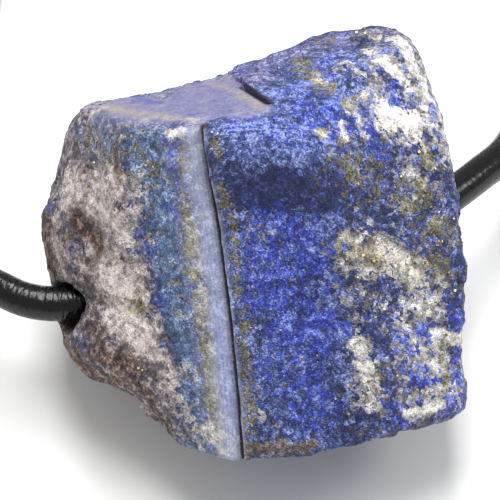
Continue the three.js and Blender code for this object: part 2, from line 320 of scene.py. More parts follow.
# The saw groove's own frame: across it, out of the strip, and down along it.
down = (WALL_FOOT - WALL_TOP).normalized()
out = facing(*STRIP_FACES)
out = (out - down * out.dot(down)).normalized()
from_top = points - np.array(WALL_TOP)
from_wall = from_top @ np.array(out.cross(down))
above_strip = from_top @ np.array(out)
part_down = from_top @ np.array(down) / (WALL_FOOT - WALL_TOP).length
from_wall -= WALL_BOW * 4 * part_down * (1 - part_down)
# What the saw left flat, and the edges round it that are still crisp. The limits have a little to spare.
in_reach = between(part_down, -0.1, 1.1)
strip = in_reach & between(from_wall, -STRIP_WIDTH - 0.05, 0.03) & between(above_strip, -0.5, 0.03)
groove = in_reach & between(from_wall, -0.8, 0.2) & between(above_strip, -0.5, 0.9)
from_sawn_top = points @ np.array(facing(*SAWN_TOP[:2])) - SAWN_TOP[2]
sawn_top = (np.abs(from_sawn_top) < 0.1) & (points[:, 0] < SAWN_TOP_END)
sawn = soften(strip | sawn_top | (groove & (from_wall < 0.02)), rounds=2)
crisp = groove | (distance_to(*SAW_STOP) < 0.5)
points = soften(points, rounds=8, hold=np.maximum(crisp, 0.9 * sawn))
# The worn part of the step is rounded off, up to the end that still stands.
worn_away = close_by(distance_to(*WORN_STEP), reach=1.9, fade=0.8)
still_there = close_by(distance_to(*SAW_STOP), reach=0.5, fade=0.2)
points = soften(points, rounds=240, hold=np.maximum(1 - worn_away, still_there))
# The rock has closed in a little over and under the left mouth of the bore, where the drill came in.
mouth, inwards = np.array(BORE[0]), np.array((Vector(BORE[1]) - Vector(BORE[0])).normalized())
up_the_view = np.array((0, math.sin(elevation), math.cos(elevation)))
rim = np.exp(-(distance_to(BORE[0], BORE[0]) - RIM_RADIUS) ** 2)
rim *= np.clip(1 - (points - mouth) @ inwards / RIM_DEPTH, 0, 1)
closing = rim * (np.clip((points - mouth) @ up_the_view / RIM_RISE, -0.7, 1) * CLOSED_IN)
points = points - closing[:, None] * (up_the_view + np.array((-0.35, 0, 0)))
noise.seed_set(7)  # noise_vector's draws follow the clock otherwise


def samples(size, seed):
    """Where each point of the skin reads a pattern of this size. Each seed reads another part of it."""
    return points / size + seed * 17.3


def lumps(size, seed):
    """Smooth lumps of one size, from about -1 to 1, at each point of the skin."""
    return np.array([noise.noise(Vector(p)) for p in samples(size, seed)])


def chips(size, seed):
    """Small flat break faces of one size, each tilted its own way, as heights from about -1 to 1."""
    heights = []
    for p in samples(size, seed):
        middle = noise.voronoi(Vector(p))[1][0]
        heights.append((Vector(p) - middle).dot(noise.noise_vector(middle * 3.7)))
    return np.array(heights) * 2


def normals():
    """Gives the mesh its moved points, and tells which way its skin faces at each."""
    stone_mesh.vertices.foreach_set("co", points.ravel())
    stone_mesh.update()
    found = np.zeros(len(points) * 3)
    stone_mesh.vertex_normals.foreach_get("vector", found)
    return found.reshape(-1, 3)


# The relief of broken rock, in forms from 1.7 to 0.33 mm wide. The bore and the sawn faces have less of it.
in_bore = close_by(distance_to(*BORE), reach=2.3, fade=0.6)
at_the_stop = close_by(distance_to(*SAW_STOP), reach=0.9, fade=0.5)
roughness = (1 - 0.95 * sawn) * (1 - 0.7 * in_bore) * (1 - 0.9 * at_the_stop)
relief = (0.16 * chips(size=1.7, seed=1) + 0.1 * lumps(size=1.1, seed=2)
          + 0.08 * chips(size=0.7, seed=3) + 0.05 * lumps(size=0.5, seed=4))
points = points + (roughness * relief)[:, None] * normals()
points = points + (roughness * 0.035 * lumps(size=0.33, seed=5))[:, None] * normals()
notch = close_by(distance_to(*SAW_STOP), reach=0.28, fade=0.14)
points = points - NOTCH_DEPTH * notch[:, None] * np.array(facing(*SAWN_TOP[:2]))
points[:, 2] = np.where(on_the_table, 0, np.maximum(points[:, 2], TABLE_GAP))
outward = normals()
stone_mesh.transform(Matrix.Scale(MM, 4))
for face in stone_mesh.polygons:
    face.use_smooth = True
stone = bpy.data.objects.new("lapis_stone", stone_mesh)
bpy.context.scene.collection.objects.link(stone)

# Where each mineral shows, and where the skin is pale, darkened with painted shade, smeared by the saw or
# worn: a name, the two ends of the patch, how wide it is to either side, and how much of the rock it takes up
# there.
CALCITE = [
    ("rim at the right edge", (10.5, 6.6, 16.8), (11.4, 2, 16.2), 0.62, 0.85),
    ("tan streaks of the sawn top", (-9.2, 5.6, 16.1), (-6.6, 3.5, 18.6), 0.51, 0.8),
    ("tan streaks of the sawn top, right", (-6.6, 3.8, 18.4), (-3.3, 1.8, 20.2), 0.34, 0.7),
    ("pale band across the sawn top", (-2.7, 7.2, 16.7), (-0.9, 5, 18.6), 0.28, 0.55),
    ("pale band across the sawn top, low", (-0.9, 5, 18.6), (0.4, 2.4, 20.7), 0.28, 0.6),
    ("slope above the foot", (-6, -6.9, 10.3), (-5, -8.4, 9.2), 0.57, 0.55),
    ("upper vein", (7.1, -3.2, 15.2), (8, -3.5, 14.4), 0.8, 0.8),
    ("upper vein, right half", (8.1, -3.6, 14.3), (9.2, -4.2, 13.3), 0.85, 0.78),
    ("around the vein", (6.2, -3.4, 15.7), (9.9, -4.4, 12.7), 1.25, 0.5),
    ("under the vein, left", (5.4, -4.6, 15.1), (7.7, -4.2, 14), 0.51, 0.6),
    ("under the upper vein", (8.4, -5.3, 12.7), (10.4, -5.1, 11.5), 0.62, 0.7),
    ("right edge, white", (10.4, -6, 10.6), (11.7, -5.5, 9.2), 0.51, 0.85),
    ("mottles of the corner", (9.3, -7, 10.5), (10.5, -7.5, 9), 0.62, 0.65),
    ("mottles of the corner, right", (10.8, -6.9, 9.2), (11.7, -7, 7.9), 0.51, 0.5),
    ("mottles of the corner, low", (9.8, -8.6, 8.6), (11.4, -7.9, 8), 0.57, 0.65),
    ("tip of the corner", (8.7, -9.9, 8.3), (10.5, -8.9, 7.8), 0.45, 0.85),
    ("right foot", (8, -6.9, 11.6), (8.8, -9.2, 9), 0.91, 0.35),
    ("upright vein", (5.8, -7.6, 11.9), (6.3, -8.9, 10.7), 0.57, 0.8),
    ("upright vein, low", (6.3, -8.9, 10.7), (6.7, -10.1, 9.4), 0.57, 0.78),
    ("right rim, outer", (8.5, 9.8, 17.6), (10.7, 5.1, 15.6), 1.14, 0.6),
    ("lilac rim of the peak", (6.6, 9.9, 17.5), (8.3, 9, 18.1), 0.57, 0.6),
    ("band beside the strip", (-3.6, -2.3, 17.3), (-3.1, -5.4, 14), 0.51, 0.45),
    ("band beside the strip, lower", (-3, -5.4, 13.9), (-2.5, -8.5, 10.7), 0.51, 0.45),
    ("band beside the strip, foot", (-2.5, -8.6, 10.6), (-1.9, -10.9, 8.2), 0.51, 0.5),
    ("left flank, upper", (-10.6, 2.5, 13.2), (-8, -0.2, 16.4), 1.25, 0.8),
    ("left flank, edge", (-11.3, 1.1, 11.1), (-11, -1, 9.7), 0.8, 0.7),
    ("left flank", (-9, 0.2, 14.3), (-7.8, -1.7, 14.9), 1.48, 0.85),
    ("left flank, middle", (-8.5, -1.7, 12.7), (-7.4, -4, 12), 1.48, 0.9),
    ("left flank, inner", (-6.9, -3.4, 13.4), (-6.3, -4.8, 12.2), 0.8, 0.7),
    ("left flank, lower", (-7.4, -4.9, 10.8), (-6.4, -6.2, 10.6), 1.36, 0.9),
    ("left flank, foot", (-5.9, -6.8, 10.5), (-5, -7.8, 10), 0.8, 0.65),
    ("left foot", (-4.5, -8.6, 9.4), (-3.6, -9.9, 8.4), 0.57, 0.5),
    ("around the hollow", (-10.4, -0.6, 11.5), (-8.9, -2, 12), 0.68, 0.45),
    ("left of the teal", (-6.5, -0.3, 17.9), (-6.6, -1.6, 16.1), 0.68, 0.6),
    ("end of the strip", (-2.7, -10.9, 8.1), (-1, -11.6, 7.4), 0.68, 0.75),
    ("upper left face", (-9.6, 4.8, 15.5), (-8, 0.8, 17.2), 1.36, 0.3),
    ("upper left edge", (-9.5, 6.9, 14.6), (-7.2, 5.7, 17), 0.45, 0.6),
    ("right rim, upper", (8, 9.2, 18), (9, 7.5, 18), 0.68, 0.85),
    ("right rim, middle", (9.2, 7.6, 17.9), (9.9, 5.6, 17.4), 0.62, 0.9),
    ("peak, right", (6.5, 7.7, 18.7), (7.4, 7, 19), 0.62, 0.7),
    ("shoulder, upper", (4.7, 5.9, 19.5), (6.2, 5.4, 19.7), 0.51, 0.5),
    ("shoulder, lower", (5.5, 2.8, 20), (6.3, 1.6, 19.5), 0.45, 0.6),
    ("under the shoulder patch", (8.1, 1.9, 18.3), (9.6, 1.8, 17.5), 0.51, 0.55),
    ("mottles by the right edge", (9.6, 4.4, 17.7), (10.2, 2.7, 17.2), 0.51, 0.6),
    ("right rim", (9.9, 6.4, 17.1), (10.8, 1.7, 16.7), 0.45, 0.6),
    ("under the right rim", (7.8, 7.1, 18.9), (8.8, 5, 18.2), 0.68, 0.6),
    ("top of the shoulder", (5.5, 7, 18.9), (7.3, 5.3, 19.1), 0.8, 0.35),
    ("over the veins", (5.4, 0.5, 19.7), (10.5, -1.5, 14.7), 1.48, 0.2),
    ("around the upper vein", (5.4, -4, 15.7), (9.9, -4, 13), 1.02, 0.55),
    ("between the veins", (5.5, -5.9, 13.8), (9.9, -5.5, 11.6), 1.02, 0.4),
    ("beside the upright vein", (5.5, -9.1, 10.6), (6.9, -9.8, 9.6), 0.68, 0.35),
    ("head of the strip", (-5.3, 0.7, 19.8), (-4.4, -0.2, 19.4), 0.51, 0.35),
    ("beside the wall", (-0.5, -6, 13.9), (0.4, -11, 8.5), 0.51, 0.2),
    ("shoulder patch", (7.5, 3.2, 18.7), (8.8, 3.3, 18.1), 1.08, 1),
    ("above the shoulder patch", (7.3, 6.8, 19.1), (8.3, 5.9, 18.5), 0.51, 0.9),
    ("rim right of the peak", (8.3, 9.2, 18), (9.8, 5.8, 17.5), 0.68, 0.6),
    ("under the peak", (5, 6.9, 18.9), (5.8, 5.6, 19.7), 0.4, 0.65),
    ("middle of the shoulder", (3.4, 6.1, 19.1), (3.8, 4.2, 20.3), 0.45, 0.55),
    ("beside the shoulder patch", (6.1, 3.8, 19.7), (6.9, 5, 19.3), 0.28, 0.7),
    ("front of the shoulder", (4.9, 1.8, 20.2), (5.1, 0.8, 19.9), 0.23, 0.8),
    ("yellow spot on the shoulder", (3.7, 0.7, 20.7), (3.9, 0.7, 20.6), 0.28, 0.7),
    ("right edge, upper", (8.7, 0.4, 17.4), (9.5, 0.1, 16.8), 0.4, 0.75),
    ("right edge, middle", (8.4, -1.1, 16.3), (9.3, -0.7, 16.2), 0.34, 0.6),
    ("upper vein, left end", (5, -3.4, 16.4), (5.8, -3.3, 16), 0.4, 0.85),
    ("upper vein, right end", (8.9, -4.1, 13.5), (10.4, -3.9, 12.8), 0.4, 0.6),
    ("left of the upper vein", (4.8, -4.5, 15.2), (5.5, -4.9, 14.8), 0.4, 0.55),
    ("between the veins, left", (8.4, -5.3, 12.7), (8.9, -5.1, 12.7), 0.28, 0.8),
    ("between the veins, right", (9.7, -5, 12.3), (10.5, -4.5, 12.1), 0.34, 0.75),
    ("lower vein", (8.3, -6.2, 12), (9, -6.7, 11.1), 0.4, 0.65),
    ("lower vein, right end", (10.1, -6, 10.8), (11.7, -5.3, 9.5), 0.34, 0.9),
    ("upright vein, top", (5.6, -6.6, 13), (5.9, -7.5, 12), 0.23, 0.8),
    ("foot of the upright vein", (5.4, -9.8, 9.8), (5.7, -10.1, 9.5), 0.28, 0.6),
    ("foot of the front", (0.2, -9.8, 9.8), (1, -10.9, 8.4), 0.51, 0.35),
    ("head of the front", (-0.1, -3, 16.9), (0.8, -3.3, 16.6), 0.57, 0.25),
    ("saw corner", (-4.8, 1.1, 20.1), (-4, 0.9, 20.6), 0.31, 1),
    ("left shoulder", (-11, 1.6, 12.4), (-9.1, 0.6, 14.5), 0.51, 0.85),
    ("left boss", (-8.7, -0.2, 14.6), (-7.3, -2.3, 14.9), 0.57, 0.95),
    ("left face", (-8.5, -2.3, 12.4), (-7.1, -4.4, 11.8), 0.97, 0.95),
    ("left face, lower", (-7.1, -4.9, 11.1), (-5.9, -6.3, 11), 0.74, 0.8),
    ("over the bore", (-9.6, -1.9, 11.4), (-9.4, -2.3, 11.4), 0.34, 0.8),
    ("above the hollow", (-11.1, 0.3, 11), (-10.2, -0.3, 12.1), 0.28, 0.55),
    ("over the left edge", (-10.6, 2.8, 13.2), (-8.4, 0.5, 16.1), 0.51, 0.5),
    ("left of the band", (-6.4, -0.5, 17.8), (-6.6, -1.3, 16.6), 0.45, 0.55),
    ("in the band", (-4.6, -4.9, 14), (-4.5, -5, 14), 0.26, 0.6),
    ("lower left slope", (-5.3, -7.5, 10.1), (-4.7, -8.5, 9.3), 0.51, 0.6),
    ("foot of the band", (-3.6, -10.3, 7.9), (-2.3, -11.3, 7.7), 0.45, 0.55),
    ("upper left corner", (-7.6, 1.7, 18.6), (-7.3, 1.8, 19.1), 0.28, 0.55),
]
LAZURITE = [  # more vivid than in the rest of the rock
    ("sawn top, left", (-7.5, 5.9, 16.8), (-5.3, 4.8, 17.9), 0.34, 1),
    ("top rim, blue spot", (-1.4, 7.7, 17.4), (-0.7, 7.4, 17.7), 0.4, 0.85),
    ("peak, blue spot", (4.9, 10.2, 17.1), (5.6, 10.5, 16.9), 0.34, 0.85),
    ("peak, blue spots", (6.3, 6.8, 19.2), (7.2, 6.6, 19.2), 0.45, 0.8),
    ("left shoulder, blue", (-9.1, 1.5, 15.2), (-8.7, 0.7, 15.7), 0.34, 0.7),
    ("hollow, blue", (-10.3, -0.7, 11.6), (-9.3, -1.3, 12.1), 0.34, 0.85),
    ("left flank, blue spot", (-7.1, -2.3, 14.9), (-6.5, -3, 14.3), 0.4, 0.6),
    ("beside the strip, blue", (-5.9, -4.9, 12.6), (-4.9, -5.6, 12.9), 0.34, 0.6),
    ("corner, blue grains", (8.9, -6.8, 11.1), (11.4, -8.1, 7.8), 1.48, 0.7),
    ("right edge, blue grains", (11.2, -4.9, 11.2), (11.7, -5.2, 9.8), 0.51, 0.8),
    ("foot, blue grains", (7.3, -9.9, 9.5), (8.7, -10.2, 8), 0.68, 0.6),
    ("shoulder, blue grains", (4.6, 6.7, 18.9), (7.9, 3.9, 18.6), 0.91, 0.55),
    ("beside the shoulder patch, blue grains", (5.7, 2.2, 19.8), (7.1, 0.9, 18.7), 0.68, 0.6),
    ("right rim, blue grains", (8.8, 5.7, 18.3), (10, 5.2, 17.2), 0.51, 0.7),
    ("front, upper", (1, -3.4, 16.5), (3.2, -3.9, 15.9), 1.93, 0.55),
    ("front, middle", (1, -5.5, 14.3), (3.1, -7.1, 12.6), 2.05, 0.6),
    ("front, lower", (1.2, -8.8, 11), (3.6, -10.3, 9.3), 1.82, 0.45),
    ("slope", (-0.5, 1.1, 21.1), (2.6, 0, 21), 0.91, 0.45),
    ("slope, right", (2.6, 2.1, 21), (4.6, 0.9, 20.3), 0.8, 0.5),
    ("shoulder", (1.5, 4.2, 19.8), (4.3, 5.3, 19.7), 0.8, 0.5),
    ("peak", (4.3, 7.3, 18.6), (6.6, 5.5, 19.4), 0.8, 0.5),
    ("right shoulder", (7.4, 5.3, 19), (9.4, 5.5, 17.9), 0.57, 0.5),
    ("mottles of the corner", (9.6, -6.2, 11.1), (11.1, -7.3, 8.7), 1.02, 0.5),
    ("mottles of the shoulder", (4, 3.3, 20.7), (5.5, 1.8, 19.9), 0.68, 0.5),
    ("spot by the saw corner", (-5.1, 0.9, 20), (-5, 0.6, 20), 0.2, 1),
    ("streak on the left face", (-8.6, 0.8, 15.9), (-8.4, 0.3, 15.9), 0.23, 0.8),
    ("left edge", (-11.9, 3.2, 9.8), (-11.5, 2.2, 11.4), 0.28, 0.9),
    ("in the hollow", (-10.2, -0.9, 11.6), (-9.3, -1.3, 12.1), 0.28, 0.7),
    ("over the hollow", (-10.8, 0.6, 12), (-10.6, 0.4, 12.1), 0.14, 0.9),
    ("beside the left boss", (-7.2, -0.6, 17), (-7.1, -0.7, 16.9), 0.17, 0.8),
    ("under it", (-7.1, -1.1, 16.3), (-6.9, -1.5, 16.1), 0.2, 0.8),
    ("specks left of the band", (-6.7, -2.1, 15.4), (-6, -3, 14.7), 0.62, 0.7),
    ("specks at the head of the band", (-4.8, 0.2, 19.7), (-4.7, -0.4, 19), 0.28, 0.8),
    ("specks in the band", (-4.9, -1.9, 17.2), (-4.3, -2.5, 16.9), 0.34, 0.6),
    ("band, middle", (-3.6, -5.6, 13.6), (-3.2, -6.3, 13), 0.26, 0.9),
    ("left of the band, lower", (-5.3, -6.8, 11), (-5, -7.1, 10.9), 0.26, 0.8),
    ("band, lower", (-3.8, -7.7, 11.3), (-3.3, -7.9, 11.2), 0.34, 0.6),
    ("band, foot", (-3.8, -9.5, 8.8), (-3.4, -9.9, 8.6), 0.28, 0.6),
    ("spot between the veins", (9, -4.9, 12.8), (9.4, -4.9, 12.6), 0.31, 1),
    ("crystals by the right edge", (9.8, -6.6, 10.5), (10.5, -6.6, 9.9), 0.34, 0.7),
    ("crystals left of them", (8.4, -8.3, 10.2), (8.9, -8.6, 9.5), 0.28, 0.6),
    ("crystals over them", (10.5, -5, 11.7), (11.3, -5.1, 10.8), 0.28, 0.6),
    ("crystals at the corner", (9.2, -9, 8.8), (9.3, -9.2, 8.5), 0.2, 0.7),
    ("front of the shoulder, left", (2.5, 3.1, 20.7), (4.8, 1.7, 20.3), 0.57, 0.6),
    ("under the spot on the face", (-6.3, -4.8, 12.2), (-6.1, -5, 12.2), 0.17, 0.8),
]
NAVY_AND_SHADE = [  # darker lazurite, and painted shade on the ledge and along the foot of the front
    ("left top, slate", (-10.1, 5.3, 14.6), (-9.6, 2.4, 14.9), 0.74, 0.6),
    ("left top, slate, right", (-8.7, 3.1, 17.3), (-8.3, 0.9, 16.7), 0.68, 0.6),
    ("beside it", (-7.6, 1.7, 18.6), (-7.3, 0.4, 17.9), 0.45, 0.7),
    ("beside the upright vein", (6.7, -6.8, 12.5), (8.2, -8, 10.7), 0.74, 0.7),
    # Painted shade: the ledge faces down, away from the light, and is darkened.
    ("ledge", (-0.9, -1.8, 19.3), (4.4, -1.6, 18.5), 1.31, 1),
    ("lower edge of the ledge", (-1.2, -2.1, 18.3), (4.5, -2, 17.9), 0.45, 1),
    ("left end of the ledge", (-2.4, -0.5, 20.7), (-1.8, -2.2, 17.8), 0.51, 0.8),
    ("upper left face", (-9.7, 4.1, 15.1), (-8.7, 1.5, 16.4), 0.74, 0.6),
    ("beside the notch", (-7.3, 1.1, 18.5), (-7, -0.1, 17.7), 0.45, 0.8),
    ("dark patch of the front", (2.6, -3.7, 16.2), (3.8, -5.6, 14.2), 0.68, 0.45),
    ("between the veins", (6.8, -6.9, 12.3), (8.1, -8, 10.7), 0.74, 0.9),
    ("over the crack", (10, -1.1, 15.4), (11.1, -2.9, 13.2), 0.74, 0.75),
    ("over the veins", (5.9, -0.1, 18.7), (8.4, -1.2, 16.3), 0.91, 0.6),
    ("right foot", (7, -9.7, 9.7), (8.3, -10.5, 7.8), 0.62, 0.7),
    ("under the shoulder patch", (5.5, 0.6, 19.7), (8, 0.8, 18), 0.57, 0.5),
    ("shoulder", (4.3, 7.3, 18.6), (5.5, 4.5, 20), 0.57, 0.35),
    ("under the bore", (-10.5, -2.4, 6.2), (-9.5, -5.4, 8.4), 0.51, 0.9),
    ("spot of the lower left", (-4.4, -9.7, 7.7), (-4.2, -10.1, 7.2), 0.23, 0.7),
    ("left edge", (-11.8, 2.9, 10.5), (-11.5, 1.8, 11.3), 0.28, 0.9),
    # Painted shade along the bottom edge of the front.
    ("foot of the front", (0.4, -11.3, 8.2), (8.3, -10.2, 8.2), 0.51, 0.5),
]
TEAL = [  # fine lazurite with diopside
    ("head of the band", (-5.8, 0.2, 18.8), (-5.4, -1.9, 16.7), 0.68, 0.7),
    ("band, upper", (-5.3, -2, 16.7), (-4.7, -4, 14.8), 0.68, 1),
    ("band, middle", (-5.1, -3.9, 14.6), (-4.4, -5.6, 13.4), 0.62, 0.95),
    ("band, lower", (-4.4, -5.6, 13.4), (-4.1, -7.4, 11.4), 0.51, 1),
    ("band, foot", (-3.8, -7.6, 11.4), (-3.5, -9.6, 8.9), 0.45, 0.7),
    ("end of the band", (-4.6, -9.7, 5.8), (-2.8, -11.2, 6.4), 0.4, 0.9),
    ("left top face", (-9, 4.5, 16.5), (-7.8, 1.8, 18.5), 0.57, 0.7),
    ("beside the corner", (-6.4, 0.4, 18.7), (-5.8, 0.5, 19.3), 0.45, 0.6),
]
OLIVE = [  # grey-green diopside
    ("upper vein, cream part", (7.3, -2.8, 15.3), (8.2, -3.4, 14.4), 0.62, 0.36),
    ("under the crack", (8.8, -3.2, 14.2), (10.7, -3.7, 12.8), 0.45, 0.45),
    ("beside the wall, middle", (-1.2, -2.8, 17.1), (-0.9, -6, 13.9), 0.28, 0.55),
    ("beside the wall, lower", (-0.6, -6.3, 13.4), (-0.2, -11.5, 8.1), 0.34, 0.5),
    ("over the veins", (5.4, -0.1, 19.2), (10.8, -2, 14.1), 1.48, 0.34),
    ("around the upper vein", (5.2, -3.7, 16.1), (9.3, -4, 13.4), 1.02, 0.42),
    ("upper left face", (-9.6, 4.4, 15.4), (-7.1, 0.3, 18), 1.25, 0.32),
    ("top of the shoulder", (2.6, 7.5, 18.1), (3.9, 4, 20.4), 0.68, 0.5),
    ("peak", (3.8, 9.3, 17.6), (6.7, 9.9, 17.5), 0.57, 0.4),
    ("head of the strip", (-7, 1.1, 18.9), (-5.8, -0.1, 18.5), 0.57, 0.35),
    ("band beside the strip, head", (-3.9, 0.1, 19.8), (-3.8, -2.4, 17.1), 0.34, 0.55),
    ("band beside the strip", (-3.7, -2.4, 17.1), (-3.5, -4.8, 14.6), 0.4, 0.8),
    ("band beside the strip, middle", (-3.3, -5.7, 13.6), (-2.7, -7.5, 11.8), 0.4, 0.7),
    ("band beside the strip, lower", (-2.7, -7.7, 11.5), (-2.3, -9.9, 9.3), 0.45, 0.8),
    ("band beside the strip, foot", (-2.1, -10.1, 9), (-1.8, -11.5, 7.5), 0.4, 0.6),
    ("beside the wall, head", (-2.2, -0.4, 20.8), (-1.6, -2.2, 17.8), 0.4, 0.7),
    ("foot of the front", (-0.5, -11.9, 7.6), (3.1, -11.7, 7.8), 0.4, 0.7),
    ("right of the ledge", (5.1, -0.5, 18.9), (5.8, -0.7, 18.1), 0.51, 0.6),
    ("left of the upper vein", (5.5, -4.1, 15.6), (7, -3.8, 14.9), 0.57, 0.8),
    ("crystals by the shoulder", (9.5, 1.3, 17.4), (10, 1, 17.1), 0.4, 0.9),
    ("right edge", (8.4, -1.3, 16.1), (8.8, -1.3, 15.9), 0.28, 0.9),
    ("right edge, lower", (9.9, -1.5, 15), (10.6, -1.3, 14.9), 0.4, 0.9),
    ("crystals over the edge", (8.8, -0.3, 16.9), (10, -0.2, 16.2), 0.4, 0.6),
    ("the crack", (10.2, -3.1, 13.5), (11.6, -3.4, 12.4), 0.23, 0.9),
    ("between the mottles", (10.7, -6.3, 10), (10.8, -7.9, 8.4), 0.23, 0.9),
    ("specks on the left face", (-7.2, -4.9, 11), (-6.3, -5, 11.9), 0.28, 0.7),
    ("beside the peak", (5.9, 10.3, 17.1), (6.3, 9.7, 17.5), 0.23, 0.7),
    ("middle of the shoulder", (5.2, 3, 20.2), (5.8, 3.7, 19.8), 0.28, 0.7),
    ("spot in the shoulder patch", (8.6, 3.4, 18.2), (8.8, 3.4, 18.1), 0.14, 1),
    ("yellow spot", (3.7, 0.7, 20.7), (3.9, 0.7, 20.6), 0.26, 0.8),
]
STAIN_AND_BOUNCE = [  # brown: partly iron stain, partly a painted reflection of a brown surface on the left and lower edges
    ("foot of the front", (0.4, -12, 7.5), (2.6, -11.8, 7.6), 0.28, 0.55),
    ("left edge, brown rim", (-11.9, 2.4, 10.4), (-11.6, -0.2, 8.8), 0.51, 0.9),
    ("lower left, brown rim", (-9.6, -5.7, 6.9), (-5.9, -8.5, 8), 0.45, 0.85),
    ("under the lower left rim", (-9.2, -6.2, 6.6), (-6.2, -8.6, 6.9), 0.45, 0.9),
    ("under the lower left rim, foot", (-6, -8.7, 6.9), (-3.9, -10.4, 5.4), 0.45, 0.95),
    ("hollow in the left flank", (-9.9, 0.2, 12.8), (-8.7, -1.4, 12.6), 0.8, 1),
    ("hollow, lower", (-10.6, -0.1, 11.6), (-9.1, -1.9, 11.9), 0.51, 0.8),
    ("left edge", (-11.8, 1.5, 10.5), (-11.5, -0.2, 9.4), 0.51, 0.8),
    ("left edge, lower", (-11.3, -0.4, 9.6), (-10.5, -0.4, 7.5), 0.51, 0.8),
    ("beside the bore", (-9.6, -2.3, 11), (-8.8, -3.6, 10.5), 0.4, 0.6),
    ("right of the bore", (-9.2, -3.8, 9.7), (-8.7, -5, 9.6), 0.34, 0.6),
    ("under the bore", (-10.7, -2.1, 6.2), (-9.6, -5.7, 6.9), 0.85, 0.95),
    ("under the bore, right", (-9.2, -4.7, 9.2), (-8.5, -6.2, 9.3), 0.57, 0.8),
    ("lump on the lower left", (-9.2, -5.9, 8.7), (-7.1, -7.3, 9.3), 0.8, 0.9),
    ("lower left, edge", (-8.9, -6.3, 7.1), (-7.3, -7.6, 7.9), 0.51, 0.9),
    ("lower left", (-7.1, -7.6, 8.9), (-6.1, -8.3, 8.1), 0.45, 0.7),
    ("lower left edge", (-5.9, -8.6, 7.4), (-5, -9.4, 6.6), 0.4, 0.9),
    ("lower left edge, foot", (-4.6, -9.8, 6.1), (-3.8, -10.3, 5.8), 0.28, 0.6),
    ("left top face", (-10.4, 5.4, 13.5), (-9.4, 2, 15.1), 0.57, 0.5),
    ("beside the notch", (-7.8, 2.3, 18.7), (-7.6, 0.3, 17.3), 0.2, 1),
    ("bottom edge", (-2.7, -11.2, 6.4), (-0.2, -12.1, 7.3), 0.23, 0.8),
    ("bottom edge, middle", (-0.1, -11.9, 7.5), (3.5, -11.7, 7.8), 0.23, 0.7),
    ("bottom right edge", (8.9, -10.2, 7.5), (11.7, -8.1, 7.2), 0.17, 0.6),
]
PALE = [  # finely broken, so that it looks paler
    ("slope", (-1, 0.9, 21.1), (4.2, 0.6, 20.3), 0.97, 1),
    ("shoulder", (-0.2, 3.7, 19.6), (4.3, 4.9, 20), 0.91, 0.7),
    ("peak", (4.8, 7.2, 18.7), (8.2, 8, 18.6), 1.14, 0.8),
    ("shoulder, right", (5.4, 3.4, 20.1), (9.9, 4.6, 17.5), 1.25, 0.8),
    ("right foot", (8.8, -7.2, 10.8), (11.4, -8, 7.9), 1.25, 0.6),
    ("under the notch", (-0.5, 2.2, 20.6), (2.6, 2.5, 20.9), 0.57, 0.6),
]
SHADE_AND_GRIME = [  # painted shade in cracks, corners and under the ledge's lip, with a little dirt
    ("the crack", (9.8, -3, 13.8), (11.7, -3.4, 12.3), 0.17, 0.8),
    ("foot of the front", (-0.5, -11.9, 7.6), (3.3, -11.8, 7.8), 0.34, 0.3),
    ("lower lip of the ledge", (0.4, -2.3, 17.7), (4.5, -2.3, 17.7), 0.11, 0.6),
    ("beside the lump on the lower left", (-6, -7.4, 9.7), (-5, -7.9, 9.9), 0.17, 0.6),
    ("cut in the left top face", (-7.8, 2.3, 18.7), (-7.6, 0.3, 17.3), 0.14, 0.5),
    ("dark streak left of the upper vein", (5.6, -4.4, 15.3), (7, -4.1, 14.6), 0.23, 0.5),
    ("dark streak over it", (5.4, -3.7, 15.9), (6.6, -3.1, 15.5), 0.17, 0.4),
]
SMEARED = [  # by the saw, on the bevel beside the sawn top
    ("bevel over the strip, left", (-8.9, 4.7, 16.7), (-6.4, 2.8, 19), 0.4, 0.8),
    ("bevel over the strip", (-6.4, 2.8, 19), (-2.8, 1.8, 20.4), 0.28, 0.8),
]
WORN = [  # rubbed to a pale violet
    ("over the strip", (-8.9, 4.6, 16.7), (-5.8, 2.4, 19.4), 0.45, 0.75),
    ("over the strip, right", (-5.8, 2.4, 19.4), (-2.7, 1.6, 20.4), 0.28, 0.6),
    ("top rim, left", (-3.5, 6.9, 16.8), (-1.2, 7.6, 17.5), 1.02, 0.5),
    ("top rim, middle", (-1.2, 7.4, 17.7), (1.7, 8.8, 17.1), 1.14, 0.5),
    ("top rim, right", (1.7, 8.5, 17.3), (4.3, 9.2, 17.6), 1.02, 0.5),
    ("behind the saw stop", (-1.6, 7.7, 16.8), (0.4, 5.8, 18.6), 0.74, 0.8),
    ("peak", (4.3, 10.2, 17), (8, 10, 17.5), 0.4, 0.6),
    ("left top edge", (-9.6, 6.7, 14.8), (-7, 5, 17.4), 0.57, 0.8),
    ("streaks of the sawn top", (-7.1, 3.9, 18.2), (-3, 2.8, 19.7), 0.4, 0.7),
]
